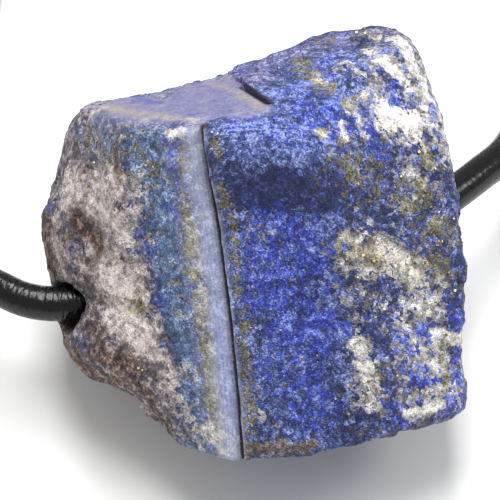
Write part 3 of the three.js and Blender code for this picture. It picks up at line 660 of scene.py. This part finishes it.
PYRITE = [  # where its grains lie closest
    ("head of the strip", (-7, 2, 19.3), (-5.3, 0.8, 19.9), 0.45, 0.8),
    ("head of the band", (-6.3, 0.7, 19.1), (-5.8, -0.3, 18.3), 0.4, 0.8),
    ("left top face", (-9.6, 4.8, 15.5), (-8.1, 0.8, 17), 0.68, 0.3),
    ("left face", (-9.9, 2, 14.3), (-8.9, 0.2, 14.5), 0.45, 0.3),
    ("specks of the band", (-6.2, -1.9, 16), (-5.8, -2.6, 15.3), 0.34, 0.8),
    ("beside the strip, middle", (-3.8, -3.5, 15.9), (-3.5, -4.5, 14.9), 0.28, 1),
    ("specks of the left face", (-6.9, -4.5, 11.8), (-6.3, -5, 11.9), 0.28, 0.8),
    ("beside the strip, lower", (-3.3, -6.4, 12.8), (-3.1, -6.8, 12.5), 0.23, 1),
    ("beside the strip, foot", (-2.8, -8.7, 10.4), (-2.3, -9.7, 9.4), 0.34, 0.7),
    ("lower left", (-7.1, -6.7, 9.9), (-6.4, -7.5, 9.4), 0.45, 0.4),
    ("beside the wall, head", (-2.2, 0, 20.9), (-1.5, -2.2, 17.8), 0.45, 0.6),
    ("beside the wall", (-1.1, -2.6, 17.3), (-0.8, -6, 13.9), 0.4, 0.4),
    ("beside the wall, lower", (-0.5, -6.1, 13.7), (-0.2, -11.5, 8.1), 0.34, 0.4),
    ("shoulder", (9.3, 1.7, 17.6), (10.3, 1, 16.9), 0.51, 1),
    ("over the veins", (8.4, 0.6, 17.7), (10.5, -1.5, 14.7), 0.8, 0.7),
    ("right edge", (9.8, -1.3, 15.3), (10.8, -2.1, 13.9), 0.51, 1),
    ("left of the upper vein", (6.1, -4, 15.3), (7, -4.4, 14.4), 0.4, 1),
    ("the crack", (9.9, -3, 13.8), (11.1, -3.6, 12.6), 0.28, 0.8),
    ("between the mottles", (10.7, -6.1, 10.2), (11.1, -8.2, 8), 0.34, 0.9),
    ("foot of the upright vein", (6.2, -9.1, 10.5), (6.9, -9.9, 9.5), 0.28, 0.6),
    ("peak", (3.8, 9.5, 17.5), (6.3, 10, 17.4), 0.4, 0.5),
    ("right of the shoulder patch", (8.3, 5.6, 18.5), (9.1, 4.1, 18), 0.4, 0.5),
    ("lower front", (1.5, -5.9, 13.8), (4.8, -10.7, 8.8), 2.27, 0.05),
    ("between the veins", (5.5, -5.9, 13.8), (9.3, -7.5, 10.1), 1.36, 0.2),
    ("right of the ledge", (4.8, 0.2, 19.8), (6.6, -1.4, 17.1), 0.57, 0.3),
]


def patch(spots, ragged=0.45):
    """The share of a mineral at each point of the skin, from its patches with their ragged outlines."""
    share = np.zeros(len(points))
    for _, start, end, width, strength in spots:
        reach = distance_to(start, end) * (1 + ragged * edge_lumps) + 0.3 * fine_lumps * width
        share = np.maximum(share, strength * np.exp(-np.maximum(reach / width, 0) ** 3 * 0.7))
    return share


edge_lumps, fine_lumps, wide_lumps = lumps(1.2, 6), lumps(0.5, 7), lumps(4.0, 8)
vivid_blue, dark_blue_and_shade, pale = patch(LAZURITE, ragged=0.3), patch(NAVY_AND_SHADE), patch(PALE)
on_top = np.maximum(soften(sawn_top, rounds=16), patch(SMEARED))
# The rock lies in bands: pale host rock at the left, from 5.2 mm beside the groove to 3 mm at its foot, blue
# in the middle, and a mottled mixture at the right.
BAND_WIDTH, BAND_NARROWS, MOTTLED_FROM = 5.2, 2.2, 4.9
band_edge = BAND_WIDTH - BAND_NARROWS * part_down
past_the_band = -from_wall - band_edge + 0.5 + 0.7 * edge_lumps + 0.5 * wide_lumps
host_rock = np.clip(past_the_band / 0.9, 0, 1) * (1 - on_top)
host_rock *= 1 - 0.8 * np.maximum(dark_blue_and_shade, vivid_blue)
mottled = np.clip((points[:, 0] - MOTTLED_FROM + 0.3 * edge_lumps + 0.5 * fine_lumps) / 0.8, 0, 1)
beside_the_strip = np.clip((from_wall + band_edge + 0.6 * edge_lumps) / 0.7, 0, 1)
beside_the_strip *= close_by(from_wall, reach=-2.1, fade=0.3)
# On the sides turned away, calcite fills cracks that run through the rock as wavy sheets about 5 mm apart.
SHEET_SPACING = 5
turned_away = np.clip(outward @ np.array((0, math.cos(elevation), -math.sin(elevation))) * 3 + 0.6, 0, 1)
sheets = points @ np.array(facing(35, 55)) / SHEET_SPACING + 0.45 * wide_lumps + 0.12 * edge_lumps
sheet_width = np.clip(0.05 + 0.12 * wide_lumps, 0.015, 0.12)
veins = np.clip(1 - np.abs(sheets - np.round(sheets)) / sheet_width, 0, 1) * turned_away
# A pale blue streak runs down the strip and thins out at its foot, and saw dust lies thickest along the wall;
# both are partly a painted highlight along the strip's edge by the wall. The groove under the wall and the
# notch are darkened.
streak = np.exp(-((from_wall + 0.95 - 0.35 * part_down) / 0.4) ** 2)
streak *= np.clip(0.3 + part_down, 0, 1)
streak *= np.clip((1.05 - part_down) / 0.25, 0.3, 1)
# Partly painted highlight: the strip is paler toward the wall.
dust_and_sheen = 0.2 + 0.75 * np.clip((from_wall + 1.7 + 0.4 * edge_lumps) / 0.7, 0, 1)
# Painted shade: the groove under the wall and the notch are darkened where shadow falls in them.
shade_in_groove = soften(groove & (from_wall > -0.24) & (above_strip < -0.05), rounds=1, share=0.3)
shade_in_notch = 0.8 * close_by(distance_to(*SAW_STOP), reach=0.36, fade=0.12)
shares = {
    "host_rock": host_rock,
    "calcite": np.maximum.reduce([patch(CALCITE), (0.1 + 0.4 * edge_lumps) * mottled, 0.2 * host_rock,
                                  (0.2 + 0.4 * edge_lumps) * beside_the_strip, 0.85 * veins]),
    "pyrite": np.maximum(patch(PYRITE), 0.006) * (1 - in_bore) * (1 - sawn) * (points[:, 2] > 0.3),
    "diopside": np.maximum.reduce([patch(OLIVE), (0.15 - 0.3 * edge_lumps) * mottled, 0.5 * veins]),
    "vivid_blue": vivid_blue,
    "dark_blue_and_shade": np.maximum(dark_blue_and_shade, 0.55 * mottled * (1 - pale)),
    "teal": np.maximum(patch(TEAL), 0.7 * beside_the_strip * (1 - vivid_blue) * (1 - on_top)),
    # The brown is partly iron stain, partly a painted reflection of a brown surface on the left and lower
    # edges.
    "stain_and_brown_bounce": patch(STAIN_AND_BOUNCE) * (1 - 0.9 * vivid_blue),
    "pale": pale,
    "worn": patch(WORN),
    "sawn_top": on_top,
    "blue_streak_and_sheen": streak,
    "across_the_strip": from_wall,
    "saw_dust_and_sheen": dust_and_sheen * sawn * (1 - on_top),
    "shade_and_grime": np.maximum.reduce([shade_in_groove, shade_in_notch, patch(SHADE_AND_GRIME, ragged=0.3)]),
}
for name, share in shares.items():
    stone_mesh.attributes.new(name, "FLOAT", "POINT").data.foreach_set("value", share.astype(np.float32))

# Broken rock is dull, with a grain that glints only here and there. Each grain takes its mineral by chance,
# in the share that the rock has there, so a vein frays out into single grains.
rock = bpy.data.materials.new("rough_lapis_lazuli")
rock.use_nodes = True
tree = rock.node_tree
surface = tree.nodes["Principled BSDF"]
part_of = {name: add(tree, "ShaderNodeAttribute", attribute_name=name).outputs["Fac"]
           for name in shares if name != "pyrite"}
place = add(tree, "ShaderNodeTexCoord").outputs["Object"]
place = add(tree, "ShaderNodeMapping", {"Vector": place, "Scale": (1 / MM,) * 3}).outputs["Vector"]


def shifted(by, scale):
    """Places on the stone in millimetres, shifted a little so that grains don't lie on straight lines."""
    cloud = add(tree, "ShaderNodeTexNoise", {"Vector": place, "Scale": scale, "Detail": 1.0}).outputs["Color"]
    cloud = add(tree, "ShaderNodeVectorMath", {0: cloud, 1: (0.5, 0.5, 0.5)}, operation="SUBTRACT").outputs[0]
    return add(tree, "ShaderNodeVectorMath", {0: cloud, 1: (by,) * 3, 2: place},
               operation="MULTIPLY_ADD").outputs[0]


# Fine grains are about 0.1 mm across, and coarse ones about 0.3 mm. Blotches, clouds and flecks shade them.
fine = add(tree, "ShaderNodeTexVoronoi", {"Vector": shifted(by=0.1, scale=3.0), "Scale": 9.5})
coarse = add(tree, "ShaderNodeTexVoronoi", {"Vector": shifted(by=0.5, scale=1.6), "Scale": 3.1})
fine_draw = add(tree, "ShaderNodeSeparateColor", {"Color": fine.outputs["Color"]}).outputs
coarse_draw = add(tree, "ShaderNodeSeparateColor", {"Color": coarse.outputs["Color"]}).outputs
clouds = add(tree, "ShaderNodeTexNoise", {"Vector": place, "Scale": 0.9, "Detail": 4.0,
                                          "Roughness": 0.65}).outputs["Fac"]
blotches = add(tree, "ShaderNodeTexNoise", {"Vector": place, "Scale": 2.4, "Detail": 2.0}).outputs["Fac"]
flecks = add(tree, "ShaderNodeTexNoise", {"Vector": place, "Scale": 12.0, "Detail": 2.0,
                                          "Roughness": 0.7}).outputs["Fac"]
# Slanting streaks lie over the brow of the stone, where the grains are broken, and on the sawn top, where the
# saw has dragged and smeared them.
slant = add(tree, "ShaderNodeMapping", {"Vector": place, "Rotation": (0, 0, math.radians(50)),
                                        "Scale": (1.1, 5.5, 2.5)}).outputs["Vector"]
drags = add(tree, "ShaderNodeTexNoise", {"Vector": slant, "Scale": 1.0, "Detail": 3.0}).outputs["Fac"]
# Saw marks run along the strip.
scratches = add(tree, "ShaderNodeTexNoise", {"W": part_of["across_the_strip"], "Scale": 2.6, "Detail": 4.0,
                                             "Roughness": 0.75}, noise_dimensions="1D").outputs["Fac"]


def summed(start, *parts):
    """A sum of patterns: the start, and then each pattern times its weight, which can be a pattern too."""
    for pattern, weight in parts:
        start = add(tree, "ShaderNodeMath", {0: pattern, 1: weight, 2: start},
                    operation="MULTIPLY_ADD").outputs[0]
    return start


def chosen(share, channel):
    """1 on the grains that are this mineral, where its share of the rock is the given one. Blotches and
    coarse grains weigh most in the draw, so that neighbours are often alike."""
    draw = summed(-0.15, (coarse_draw[channel], 0.54), (fine_draw[channel], 0.16), (blotches, 0.6))
    above = summed(0.12, (share, 0.86), (draw, -1))
    return add(tree, "ShaderNodeMapRange", {"Value": above, "From Min": -0.1, "From Max": 0.1},
               interpolation_type="SMOOTHSTEP").outputs["Result"]


brow = summed(0, (part_of["pale"], 1), (part_of["worn"], 1))
tone = summed(-0.98, (fine_draw["Blue"], 0.5), (coarse_draw["Green"], 0.32), (flecks, 0.6), (blotches, 0.7),
              (clouds, 0.9), (part_of["pale"], 0.22), (summed(-0.6, (drags, 1.2)), brow))
whiteness = summed(-0.62, (tone, 0.75), (part_of["calcite"], 0.65), (blotches, 0.7))
mottling = summed(-0.55, (tone, 1), (blotches, 1.1))
smear = summed(0.07, (tone, 0.35), (drags, 0.5), (part_of["vivid_blue"], -0.35), (part_of["calcite"], 0.45))
marks = summed(-0.225, (scratches, 1), (tone, 0.45))

# The shades of each part of the rock, from dark to pale, along the pattern that picks them.
# The dark purple-grey #2c2434 is painted shade for the groove, the notch, cracks and corners, with a little
# dirt.
shades = {"shade and dirt": linear("#2c2434"), "pink bounce": linear("#efe5e5")}
for name, pattern, stops, colours in (
        ("lazurite", tone, (0.08, 0.3, 0.52, 0.75, 0.97), "#070e35 #162253 #2f3f70 #5a68a4 #93a0d6"),
        ("vivid blue", tone, (0.08, 0.3, 0.52, 0.75, 0.97), "#070d56 #142182 #25399c #4e61c4 #8b9ce2"),
        ("navy", tone, (0.05, 0.25, 0.5, 0.75, 0.97), "#060a22 #0d163c #18245a #2c3b78 #6875a8"),
        ("host rock", mottling, (0.05, 0.25, 0.5, 0.75, 0.97), "#1b1d29 #373847 #575461 #8b8287 #c2b7b4"),
        ("brown", mottling, (0.05, 0.25, 0.5, 0.75, 0.97), "#180e0a #2f1e18 #4a342b #6c5347 #988074"),
        ("teal", tone, (0.05, 0.25, 0.5, 0.8, 0.97), "#1d2e4a #334b6e #4c658a #788eaf #b2c4d7"),
        ("calcite", whiteness, (0, 0.25, 0.5, 0.75, 1), "#47474d #767579 #a5a09d #d9d5d1 #faf8f6"),
        ("cream", whiteness, (0, 0.4, 0.7, 1), "#3c3d35 #84806f #bdb6a3 #e6dfcf"),
        ("olive grey", tone, (0.05, 0.25, 0.5, 0.8, 0.97), "#25241c #454336 #6d6a5a #9a978b #c0beb6"),
        ("worn", tone, (0.1, 0.35, 0.6, 0.9), "#322f60 #57538c #8580a6 #b8b0ba"),
        ("smeared", smear, (0.15, 0.42, 0.62, 0.85), "#45448a #6a6898 #7d7995 #8b827c"),
        ("dust", marks, (0.25, 0.42, 0.55, 0.72), "#7c83a6 #989db2 #a3a3a3 #b9bed0"),
        ("blue sheen and dust", marks, (0.3, 0.5, 0.7), "#6f7bb8 #8d99cc #b4bce0")):
    ramp = add(tree, "ShaderNodeValToRGB", {"Fac": pattern})
    while len(ramp.color_ramp.elements) < len(stops):
        ramp.color_ramp.elements.new(0.5)
    for element, at, colour in zip(ramp.color_ramp.elements, stops, colours.split()):
        element.position, element.color = at, linear(colour)
    shades[name] = ramp.outputs["Color"]

# They are laid over each other: on what, in which share, what, and how. In the host rock the calcite is
# tinted pink and a little darker, a painted reflection of a pinkish-brown surface, and where diopside grows
# among it, it is cream.
shades["rock"] = shades["lazurite"]
for under, share, over, kind in (
        # darker lazurite, and painted shade on the ledge and the foot of the front
        ("rock", chosen(part_of["dark_blue_and_shade"], "Green"), "navy", "MIX"),
        ("rock", chosen(part_of["vivid_blue"], "Blue"), "vivid blue", "MIX"),
        ("rock", part_of["host_rock"], "host rock", "MIX"),
        ("rock", part_of["teal"], "teal", "MIX"),
        ("rock", chosen(part_of["diopside"], "Green"), "olive grey", "MIX"),
        # painted pink reflection on the calcite of the host rock
        ("calcite", part_of["host_rock"], "pink bounce", "MULTIPLY"),
        ("calcite", summed(-0.36, (part_of["diopside"], 2.4)), "cream", "MIX"),
        ("rock", chosen(part_of["calcite"], "Red"), "calcite", "MIX"),
        # brown: partly iron stain, partly painted reflection of a brown surface
        ("rock", part_of["stain_and_brown_bounce"], "brown", "MIX"),
        ("rock", summed(0, (part_of["worn"], 0.75)), "worn", "MIX"),
        ("rock", summed(0, (part_of["sawn_top"], 0.9)), "smeared", "MIX"),
        # pale blue streak: partly painted highlight by the wall
        ("dust", summed(0, (part_of["blue_streak_and_sheen"], 0.7)), "blue sheen and dust", "MIX"),
        ("rock", summed(0, (part_of["saw_dust_and_sheen"], 0.8)), "dust", "MIX"),
        # painted shade in the groove, the notch, cracks and corners
        ("rock", part_of["shade_and_grime"], "shade and dirt", "MIX")):
    shades[under] = add(tree, "ShaderNodeMix", {"Factor": share, 6: shades[under], 7: shades[over]},
                        data_type="RGBA", blend_type=kind).outputs[2]
tree.links.new(shades["rock"], surface.inputs["Base Color"])

# Each grain stands out as a small dome, except where the saw has smoothed the rock.
height = summed(1, (fine.outputs["Distance"], -1), (flecks, 0.6), (coarse_draw["Blue"], 0.3))
sawn_here = add(tree, "ShaderNodeMath", {0: part_of["saw_dust_and_sheen"], 1: part_of["sawn_top"]}, operation="MAXIMUM")
rough_share = add(tree, "ShaderNodeMapRange", {"Value": sawn_here.outputs[0], "To Min": 0.8, "To Max": 0.12})
bump = add(tree, "ShaderNodeBump", {"Height": height, "Strength": rough_share.outputs["Result"],
                                    "Distance": 0.1 * MM})
tree.links.new(bump.outputs["Normal"], surface.inputs["Normal"])
gloss = add(tree, "ShaderNodeMapRange", {"Value": fine_draw["Red"], "To Min": 0.45, "To Max": 0.85})
tree.links.new(gloss.outputs["Result"], surface.inputs["Roughness"])
surface.inputs["IOR"].default_value = 1.5
stone.data.materials.append(rock)

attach(stone, "root")
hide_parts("stone")

# ---- the pyrite ------------------------------------------------------------------------------------------
# Grains of brassy iron pyrite, little cubes that grew in the rock and stand half out of it. They are strewn
# over the stone's skin, the closer together the more pyrite the rock has there.

GRAINS_A_SQUARE_MM = 6  # where the rock is all pyrite
SMALLEST_GRAIN, LARGEST_GRAIN = 0.06, 0.17

# Tarnished pyrite: a dull brassy metal that still glints where a face of a cube catches the light.
brass = bpy.data.materials.new("brassy_pyrite")
brass.use_nodes = True
shine = brass.node_tree.nodes["Principled BSDF"]
shine.inputs["Base Color"].default_value = linear("#8f8258")
shine.inputs["Metallic"].default_value = 1
shine.inputs["Roughness"].default_value = 0.42

strewn = bpy.data.node_groups.new("strewn_grains", "GeometryNodeTree")
strewn.interface.new_socket("Skin", in_out="INPUT", socket_type="NodeSocketGeometry")
strewn.interface.new_socket("Grains", in_out="OUTPUT", socket_type="NodeSocketGeometry")
wanted = {
    "Grains a square metre": ("NodeSocketFloat", GRAINS_A_SQUARE_MM / MM**2),
    "Smallest": ("NodeSocketVector", (SMALLEST_GRAIN * MM,) * 3),
    "Largest": ("NodeSocketVector", (LARGEST_GRAIN * MM,) * 3),
    "Seed": ("NodeSocketInt", 4),
    "Material": ("NodeSocketMaterial", brass),
}
sockets = {name: strewn.interface.new_socket(name, in_out="INPUT", socket_type=kind).identifier
           for name, (kind, _) in wanted.items()}
given = strewn.nodes.new("NodeGroupInput").outputs
here = add(strewn, "GeometryNodeInputNamedAttribute", {"Name": "pyrite"}, data_type="FLOAT")
often = add(strewn, "ShaderNodeMath", {0: here.outputs["Attribute"], 1: given["Grains a square metre"]},
            operation="MULTIPLY")
spots = add(strewn, "GeometryNodeDistributePointsOnFaces",
            {"Mesh": given["Skin"], "Density": often.outputs[0], "Seed": given["Seed"]})
turned = add(strewn, "FunctionNodeRandomValue", {0: (0, 0, 0), 1: (2 * math.pi,) * 3, "Seed": given["Seed"]},
             data_type="FLOAT_VECTOR")
turned = add(strewn, "FunctionNodeEulerToRotation", {"Euler": turned.outputs[0]})
sized = add(strewn, "FunctionNodeRandomValue",
            {0: given["Smallest"], 1: given["Largest"], "Seed": given["Seed"]}, data_type="FLOAT_VECTOR")
cube = add(strewn, "GeometryNodeMeshCube", {"Size": (1, 1, 1)})
placed = add(strewn, "GeometryNodeInstanceOnPoints", {
    "Points": spots.outputs["Points"], "Instance": cube.outputs["Mesh"],
    "Rotation": turned.outputs["Rotation"], "Scale": sized.outputs[0]})
real = add(strewn, "GeometryNodeRealizeInstances", {"Geometry": placed.outputs["Instances"]})
done = add(strewn, "GeometryNodeSetMaterial",
           {"Geometry": real.outputs["Geometry"], "Material": given["Material"]})
add(strewn, "NodeGroupOutput", {0: done.outputs["Geometry"]})

pyrite = bpy.data.objects.new("pyrite_grains", stone_mesh.copy())
bpy.context.scene.collection.objects.link(pyrite)
strew = pyrite.modifiers.new("strewn_grains", "NODES")
strew.node_group = strewn
for name, (_, value) in wanted.items():
    strew[sockets[name]] = value
grains = bpy.data.meshes.new_from_object(pyrite.evaluated_get(bpy.context.evaluated_depsgraph_get()))
pyrite.modifiers.remove(strew)
pyrite.data = grains

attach(pyrite, "root")

# ---- the table and the light -----------------------------------------------------------------------------
# A matt white table top, and daylight from a pale room, from a large soft window high up over the stone, a
# little behind it, and from a small one at the right.

TABLE_REACH = 0.6  # from its middle to its edges, in metres
LAMP_DISTANCE = 0.35  # in metres

table = bpy.data.objects.new("table_top", bpy.data.meshes.new("table_top"))
table_corners = [(x * TABLE_REACH, y * TABLE_REACH, 0) for x, y in ((-1, -1), (1, -1), (1, 1), (-1, 1))]
table.data.from_pydata(table_corners, [], [(0, 1, 2, 3)])
bpy.context.scene.collection.objects.link(table)
paint = bpy.data.materials.new("matt_white_paint")
paint.use_nodes = True
paint.node_tree.nodes["Principled BSDF"].inputs["Base Color"].default_value = linear("#f2f2f0")
paint.node_tree.nodes["Principled BSDF"].inputs["Roughness"].default_value = 0.9
table.data.materials.append(paint)

room = bpy.data.worlds.new("pale_room")
room.use_nodes = True
room.node_tree.nodes["Background"].inputs["Color"].default_value = (1, 1, 1, 1)
room.node_tree.nodes["Background"].inputs["Strength"].default_value = 0.57
bpy.context.scene.world = room

# Each lamp's width and height in metres, the way to it, and how strongly it lights the stone.
for name, width, height, way, light in (("window", 0.13, 0.27, (0, 0.22, 1), 1.13),
                                        ("side_window", 0.1, 0.1, (0.73, 0.13, 0.67), 0.22)):
    lamp = bpy.data.objects.new(name, bpy.data.lights.new(name, "AREA"))
    way = Vector(way).normalized()
    lamp.data.shape = "RECTANGLE"
    lamp.data.size, lamp.data.size_y = width, height
    lamp.data.energy = light * math.pi**2 * LAMP_DISTANCE**2
    lamp.location = way * LAMP_DISTANCE
    lamp.rotation_euler = way.to_track_quat("Z", "Y").to_euler()
    bpy.context.scene.collection.objects.link(lamp)
bpy.context.scene.view_settings.view_transform = "Standard"
